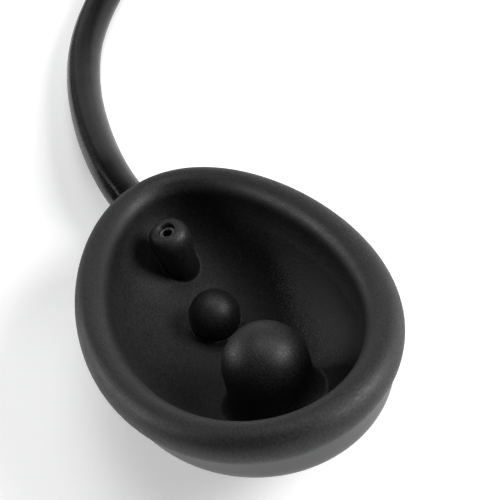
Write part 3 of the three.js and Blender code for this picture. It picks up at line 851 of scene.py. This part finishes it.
def add_hose_joint(steel, rubber):
    """The ferrule at the socket, and the ribbed rubber boot between it and the hose."""
    place = pointing(SOCKET_FACE, SOCKET_AXIS)
    bore = TUBE_RADIUS + 0.3
    rim, groove = FERRULE_RADIUS, FERRULE_RADIUS - 0.4
    corners = [
        (bore, 0.3), (rim - 0.2, 0.3), (rim, 0.6), (rim, 1.3), (groove, 1.6),
        (groove, 2.7), (rim, 3.0), (rim, 3.7), (rim - 0.2, FERRULE_LENGTH), (bore, FERRULE_LENGTH),
    ]
    ferrule = crisp(fitting("socket_ferrule", corners, place, steel, 0.2))
    finished(ferrule, ROOT, "tube_steel", "port_ferrule")

    end = BOOT_START + BOOT_LENGTH
    mouth = HOSE_RADIUS + 0.08
    hose_depth, ribs, ribbed_length, rib_depth = 5, 4, 9.2, 0.75
    corners = [(bore, BOOT_START), (BOOT_RADIUS, BOOT_START), (BOOT_RADIUS, BOOT_START + 2, 0.6)]
    for i in range(ribs):
        share = (i + 0.5) / ribs
        z = BOOT_START + 2.6 + ribbed_length * i / ribs
        r = BOOT_RADIUS - 0.2 - (BOOT_RADIUS - HOSE_RADIUS - 1.1) * share
        corners += [(r - rib_depth, z + 0.3, 0.4), (r - rib_depth, z + 1.0, 0.4)]
        corners += [(r, z + 1.3, 0.4), (r, z + 2.1, 0.4)]
    corners += [(HOSE_RADIUS + 0.7, end, 0.3), (mouth, end, 0.1)]
    corners += [(mouth, end - hose_depth, 0.3), (bore, end - hose_depth)]
    boot = fitting("strain_boot", corners, place, rubber, 0.4)
    finished(boot, ROOT, "fitting_rubber", "hose_boot")
    return boot


def strap_outline(half, low, high, rounding):
    corners = [(-half, low), (half, low), (half, high), (-half, high)]
    return softened(corners, rounding, 8, True)


def shrunk(outline, by):
    """An outline moved inwards, towards its own middle."""
    middle = sum((Vector(p) for p in outline), Vector((0, 0))) / len(outline)
    return [tuple(Vector(p) - (Vector(p) - middle).normalized() * by) for p in outline]


def add_strap(material):
    """A flat strap around the coil's two layers."""
    half = HOSE_RADIUS + 0.75
    top = 4 * HOSE_RADIUS + 0.25
    outline = strap_outline(half + TIE_THICKNESS, 0, top + TIE_THICKNESS, 3.6)
    inside = strap_outline(half, TIE_THICKNESS, top, 2.6)
    width, edge = TIE_WIDTH / 2, 0.25
    outer_edge, inner_edge = shrunk(outline, edge), shrunk(inside, -edge)
    rows = [
        (outline, edge - width), (outline, width - edge), (outer_edge, width), (inner_edge, width),
        (inside, width - edge), (inside, edge - width), (inner_edge, -width), (outer_edge, -width),
    ]
    points = [(u, y, v) for row, y in rows for u, v in row]
    n = len(outline)
    faces = []
    for k in range(len(rows)):
        m = (k + 1) % len(rows)
        for i in range(n):
            j = (i + 1) % n
            faces.append((k * n + i, k * n + j, m * n + j, m * n + i))
    turn = Matrix.Rotation(math.radians(TIE_ANGLE), 4, "Z")
    place = Matrix.Translation((*COIL_CENTRE, 0)) @ turn @ Matrix.Translation((COIL_RADIUS, 0, 0))
    strap = piece("coil_strap", placed(np.array(points), place), faces, material)
    crisp(strap, 50)
    finished(strap, ROOT, "fitting_rubber", "coil_tie")
    return strap


# ---------------------------------------------------------------- hand pump


def oval_arc(radius, half, middle, neck, count):
    """Profile of an oval, (radius, height) from its low neck to its high one."""
    shoulder = math.acos(neck / radius)
    turns = [-shoulder + 2 * shoulder * i / (count - 1) for i in range(count)]
    return [(radius * math.cos(a), middle + half * math.sin(a)) for a in turns]


def raised_seam(points, middle, half):
    """Lifts a fine mould seam along the two sides of the bulb's skin."""
    height, width = 0.22, 0.55
    r = np.hypot(points[:, 0], points[:, 1])
    around = np.arctan2(points[:, 1], points[:, 0])
    skin = r > NECK_RADIUS + 2
    skin &= np.hypot(r / BULB_RADIUS, (points[:, 2] - middle) / half) > 0.97
    off_seam = np.abs(np.abs(around) - np.pi / 2) * r
    lift = height * np.exp(-(off_seam / width) ** 2) * skin
    points[:, 0] *= 1 + lift / np.maximum(r, 1)
    points[:, 1] *= 1 + lift / np.maximum(r, 1)


def add_bulb(material):
    """A blown rubber bulb: thick rolled necks, a soft shoulder and a fine mould seam on both sides."""
    low, high = BULB_START, BULB_START + BULB_LENGTH
    middle, half = BULB_START + BULB_LENGTH / 2, BULB_LENGTH / 2 - 6
    skin = oval_arc(BULB_RADIUS, half, middle, NECK_RADIUS, 65)
    inner = oval_arc(BULB_RADIUS - BULB_WALL, half - BULB_WALL, middle, NECK_BORE, 33)
    corners = [
        (NECK_BORE, low, 0.4), (NECK_RADIUS - 0.1, low, 0.7), (NECK_RADIUS - 0.1, low + 1.9, 0.5),
        (NECK_RADIUS - 0.7, low + 2.2, 0.3), (NECK_RADIUS - 0.7, low + 3.6, 0.4),
        (NECK_RADIUS + 0.2, low + 6.2, 1.2),
    ]
    neck = softened(corners, 0.5, 4)[1:]
    far_neck = [(r, high - (z - low)) for r, z in reversed(neck)]
    points, faces = turned([*neck, *skin[3:-3], *far_neck, *reversed(inner)], 128, closed=True)
    raised_seam(points, middle, half)
    bulb = piece("pump_bulb", placed(points, ALONG_PUMP), faces, material)
    detail = bulb.modifiers.new("smooth", "SUBSURF")
    detail.levels = detail.render_levels = 1
    applied(bulb)
    finished(bulb, ROOT, "bulb_rubber", "squeeze_bulb")


def add_pump_ferrule(chrome):
    """A crimped ring on the hose's end, knurled between two grooves."""
    inner, edge, groove, rim = 3.2, 6.3, 6.2, 6.65
    corners = [
        (inner, 0.3), (edge, 0.3), (rim, 0.7, 0.2), (rim, 1.8), (groove, 2.1), (groove, 2.6), (rim, 2.9),
        (rim, 3.3, 0.1), (rim, 9.4, 0.1), (rim, 9.8), (groove, 10.1), (groove, 10.6), (rim, 10.9),
        (rim, 11.9, 0.2), (edge, 12.3), (inner, 12.3),
    ]
    knurl = (3.1, 9.6, rim, 48, 0.28)
    ferrule = fitting("hose_ferrule", corners, ALONG_PUMP, chrome, 0.15, sides=192, steps=3, knurl=knurl)
    crisp(ferrule, 30)
    finished(ferrule, ROOT, "polished_chrome", "pump_ferrule")


def add_valve_housing(chrome):
    """The barrel with its barb and knurl, the release tower on it, and the bores through both."""
    rim, groove, barb = VALVE_RADIUS, VALVE_RADIUS - 0.4, 2.9
    corners = [
        (0, 3), (barb, 3, 0.3), (barb, 12.6), (rim - 1, 12.6), (rim, 13.6, 0.4), (rim, 16.2),
        (groove, 16.5), (groove, 17.0), (rim, 17.3), (rim, 27.0), (groove, 27.3), (groove, 27.8),
        (rim, 28.1), (rim, 39.0, 0.4), (rim - 1, 40.0, 0.4), (0, 40),
    ]
    knurl = (28.6, 38.6, rim, 60, 0.3)
    barrel = fitting("valve_housing", corners, ALONG_PUMP, chrome, 0.18, False, 192, 3, knurl)

    side, groove = TOWER_RADIUS, TOWER_RADIUS - 0.3
    corners = [
        (0, 1), (side, 1, 0), (side, 8.2, 0.2), (groove, 8.5), (groove, 9.0), (side, 9.3),
        (side, TOWER_TOP, 0.3), (0, TOWER_TOP),
    ]
    combined(barrel, [fitting("tower", corners, RELEASE, None, 0.2, False, 96, 3)], "UNION")

    duct, stem_room, spring_room, check_room, vent, vent_height = 1.6, 3.2, 3.4, 4.5, 0.9, 9.4
    sideways = RELEASE @ Matrix.Translation((0, 0, vent_height)) @ Matrix.Rotation(math.pi / 2, 4, "X")
    stem_bore = [
        (0, -3), (stem_room, -3), (stem_room, 4.5), (duct, 4.5), (duct, 7), (spring_room, 7),
        (spring_room, TOWER_TOP + 1), (0, TOWER_TOP + 1),
    ]
    bores = [
        ([(0, 2), (duct, 2), (duct, CHECK_SEAT + 1), (0, CHECK_SEAT + 1)], ALONG_PUMP),
        ([(0, CHECK_SEAT), (check_room, CHECK_SEAT), (check_room, 41), (0, 41)], ALONG_PUMP),
        (stem_bore, RELEASE),
        ([(0, 0), (vent, 0), (vent, 8), (0, 8)], sideways),
    ]
    cutters = []
    for number, (line, matrix) in enumerate(bores):
        points, faces = turned(line, 48)
        cutters.append(piece(f"bore_{number}", placed(points, matrix), faces))
    combined(barrel, cutters, "DIFFERENCE")
    crisp(barrel, 30)
    finished(barrel, ROOT, "polished_chrome", "valve_body")


def add_release_button(chrome, rubber):
    """The button with its stem, the ring that guides it, and the seal on the stem."""
    rest = TOWER_TOP + BUTTON_TRAVEL
    foot, stem, guided, under, rim = 2, 1.1, 2.6, 4.2, 4.4
    corners = [
        (0, 1.6), (foot, 1.6), (foot, 2.6), (stem, 2.6), (stem, 12.2), (guided, 12.2),
        (guided, rest + 2.1), (under, rest + 2.1), (rim, rest + 2.6, 0.2), (rim, rest + 4.6, 0.8),
        (3.4, rest + 5.1, 0.6), (1.5, rest + 4.75, 1.0), (0, rest + 4.7),
    ]
    knurl = (rest + 2.5, rest + 4.3, rim, 36, 0.18)
    cap = fitting("release_cap", corners, RELEASE, chrome, 0.15, False, 144, 4, knurl)
    crisp(cap, 30)
    finished(cap, "release_button", "polished_chrome", "release_button")

    corners = [(2.9, 13.8), (5.6, 13.8, 0.3), (5.6, 14.6, 0.3), (4.9, 15.3, 0.3), (2.9, 15.3)]
    guide = crisp(fitting("guide_ring", corners, RELEASE, chrome, 0.2))
    finished(guide, ROOT, "polished_chrome", "button_guide")
    corners = [(1.4, 2.9), (2.7, 2.9), (2.7, 4.2), (1.4, 4.2)]
    seal = fitting("stem_ring", corners, RELEASE, rubber, 0.6, sides=64)
    finished(seal, "release_button", "fitting_rubber", "stem_seal")


def add_spring(material):
    """The button's spring: five turns, the first and last of them closed."""
    wire, coil, low, high, travel = 0.32, 2, 7.38, 11.92, BUTTON_TRAVEL
    closed, height = 0.7, high - low - 2 * wire
    turns = np.linspace(0, 5, 161)
    rise = np.interp(turns, (0, 1, 4, 5), (0, closed, height - closed, height))
    angles = turns * 2 * np.pi
    line = [Vector((coil * math.cos(a), coil * math.sin(a), low + wire + z)) for a, z in zip(angles, rise)]
    points, faces = swept(ring_section(wire, 12), line)
    spring = piece("button_coil", placed(points, RELEASE), faces, material)
    finished(spring, ROOT, "tube_steel", "button_spring")
    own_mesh(spring)


def slotted(obj, matrix, at):
    """Cuts two crossed air slots through a plug."""
    length, width, height = 5.5, 0.7, 0.6
    cutters = []
    for number, turn in enumerate((0, math.pi / 2)):
        corners = itertools.product((-length, length), (-width, width), (at - height, at + height))
        faces = [(0, 1, 3, 2), (4, 6, 7, 5), (0, 4, 5, 1), (2, 3, 7, 6), (0, 2, 6, 4), (1, 5, 7, 3)]
        points = placed(np.array(list(corners)), matrix @ Matrix.Rotation(turn, 4, "Z"))
        cutters.append(piece(f"slot_{number}", points, faces))
    return combined(obj, cutters, "DIFFERENCE")


def add_intake_valve(chrome):
    """The slotted collar that stops the intake disc and holds the bulb's near neck."""
    start = CHECK_SEAT + CHECK_ROOM
    hole, plug, flange, neck = 1.6, 4.2, VALVE_RADIUS, 5.3
    corners = [
        (hole, start), (plug, start), (plug, 40.3), (flange, 40.3, 0.3), (flange, 42.3, 0.3),
        (neck, 42.3), (neck, 44.5, 0.1), (neck - 0.2, 44.9, 0.1), (neck, 45.3, 0.1), (neck, 47.2, 0.1),
        (neck - 0.2, 47.6, 0.1), (neck, 48, 0.1), (neck, 51.2), (neck - 0.3, 51.6), (hole, 51.6),
    ]
    cage = fitting("intake_collar", corners, ALONG_PUMP, chrome, 0.15)
    slotted(cage, ALONG_PUMP, start + 0.6)
    finished(crisp(cage), ROOT, "polished_chrome", "intake_cage")


def add_exhaust_valve(chrome):
    """The barrel in the bulb's far neck, and the slotted cap that stops the exhaust disc."""
    end = BULB_START + BULB_LENGTH
    seat = end + 2.4
    last = seat + 7
    hole, neck, flange, rim, groove, room = 1.6, 5.3, VALVE_RADIUS, 6.5, 6.2, 4.5
    corners = [
        (hole, end - 9), (neck - 0.3, end - 9), (neck, end - 8.6, 0.2), (neck, end + 0.3),
        (flange, end + 0.3, 0.3), (flange, end + 3.0, 0.3), (rim, end + 3.6, 0.3), (rim, end + 5.2),
        (groove, end + 5.5), (groove, end + 5.9), (rim, end + 6.2), (rim, last, 0.2),
        (room, last), (room, seat), (hole, seat),
    ]
    knurl = (end + 6.1, last - 0.3, rim, 48, 0.22)
    housing = fitting("exhaust_barrel", corners, ALONG_PUMP, chrome, 0.15, True, 192, 3, knurl)
    finished(crisp(housing, 30), ROOT, "polished_chrome", "exhaust_housing")

    start = seat + CHECK_ROOM
    plug, dish = 4.2, last + 2.1
    corners = [
        (hole, start), (plug, start), (plug, last + 0.3), (rim, last + 0.3), (rim, last + 1.8, 0.4),
        (5.7, last + 2.5, 0.4), (3.0, last + 2.5, 0.2), (2.6, dish, 0.2), (hole, dish, 0.1),
    ]
    cap = fitting("exhaust_cap_ring", corners, ALONG_PUMP, chrome, 0.15)
    slotted(cap, ALONG_PUMP, start + 0.6)
    finished(crisp(cap), ROOT, "polished_chrome", "exhaust_cap")


def carried_over(name, material):
    """A CAD node that stays as it is, with a finished material."""
    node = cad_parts[name]
    node.data.materials.clear()
    node.data.materials.append(material)


# ---------------------------------------------------------------- studio


def add_floor(material):
    half = 3000.0
    points = np.array([(-half, -half, 0), (half, -half, 0), (half, half, 0), (-half, half, 0)])
    floor = piece("floor", points, [(0, 1, 2, 3)], material)


LIT_POINT = Vector((0.0, 0.0, 20.0))


def soft_box(name, direction, distance, size, power):
    """A soft box at a distance from the cup's middle, facing it. Distance and size are in metres."""
    light = bpy.data.lights.new(name, "AREA")
    light.shape = "RECTANGLE"
    light.size, light.size_y = size
    light.energy = power
    obj = bpy.data.objects.new(name, light)
    away = Vector(direction).normalized()
    facing = away.to_track_quat("Z", "Y").to_matrix().to_4x4()
    obj.matrix_world = Matrix.Translation(LIT_POINT * MM + away * distance) @ facing
    bpy.context.scene.collection.objects.link(obj)


# The world's brightness is the product of these ramps: a direction, the two cosines to it between which
# the ramp runs, and the brightness at each.
SKY = (
    ((0.0, 0.0, 1.0), 0.0, 0.6, 1.2, 0.08),
    ((0.15, 0.95, 0.0), -1.0, 1.0, 0.18, 1.4),
)


def add_studio():
    """A pale studio, dimmer overhead and on the -Y side, with soft boxes."""
    world = bpy.data.worlds.new("studio")
    world.use_nodes = True
    bpy.context.scene.world = world
    tree = world.node_tree
    background = tree.nodes["Background"]
    background.inputs["Color"].default_value = (0.96, 0.97, 1.0, 1.0)
    level = tree.nodes.new("ShaderNodeMath")
    level.operation = "MULTIPLY"
    place = tree.nodes.new("ShaderNodeTexCoord").outputs["Generated"]
    for i, (direction, start, end, low, high) in enumerate(SKY):
        heading = tree.nodes.new("ShaderNodeVectorMath")
        heading.operation = "DOT_PRODUCT"
        heading.inputs[1].default_value = direction
        tree.links.new(place, heading.inputs[0])
        ramp = tree.nodes.new("ShaderNodeMapRange")
        ramp.interpolation_type = "SMOOTHSTEP"
        for socket, value in (("From Min", start), ("From Max", end), ("To Min", low), ("To Max", high)):
            ramp.inputs[socket].default_value = value
        tree.links.new(heading.outputs["Value"], ramp.inputs["Value"])
        tree.links.new(ramp.outputs["Result"], level.inputs[i])
    tree.links.new(level.outputs["Value"], background.inputs["Strength"])
    soft_box("key_light", (0.4, 0.75, 0.53), 1.2, (0.6, 0.6), 17)
    soft_box("top_light", (-0.13, 0.15, 0.98), 1.2, (0.8, 0.8), 6)
    soft_box("back_light", (-0.87, 0.2, 0.36), 1.3, (1.0, 0.4), 0.9)
    soft_box("fill_light", (-0.62, -0.7, 0.33), 1.2, (0.7, 0.35), 6)
    bpy.context.scene.view_settings.view_transform = "Standard"


# ---------------------------------------------------------------- everything

add_camera()
hose, hose_route = add_hose(hose_rubber())
chrome, steel = polished_chrome(), tube_steel()
rubber = fitting_rubber()
boot = add_hose_joint(steel, rubber)
strap = add_strap(rubber)
add_pump_ferrule(chrome)
add_cup(silicone(), glossy_painted_reflection_silicone())
add_tube(steel)
add_valve_housing(chrome)
add_release_button(chrome, rubber)
add_intake_valve(chrome)
add_exhaust_valve(chrome)
carried_over("intake_disc", rubber)
carried_over("exhaust_disc", rubber)
add_spring(steel)
add_bulb(bulb_rubber())
add_floor(pale_floor())
add_studio()
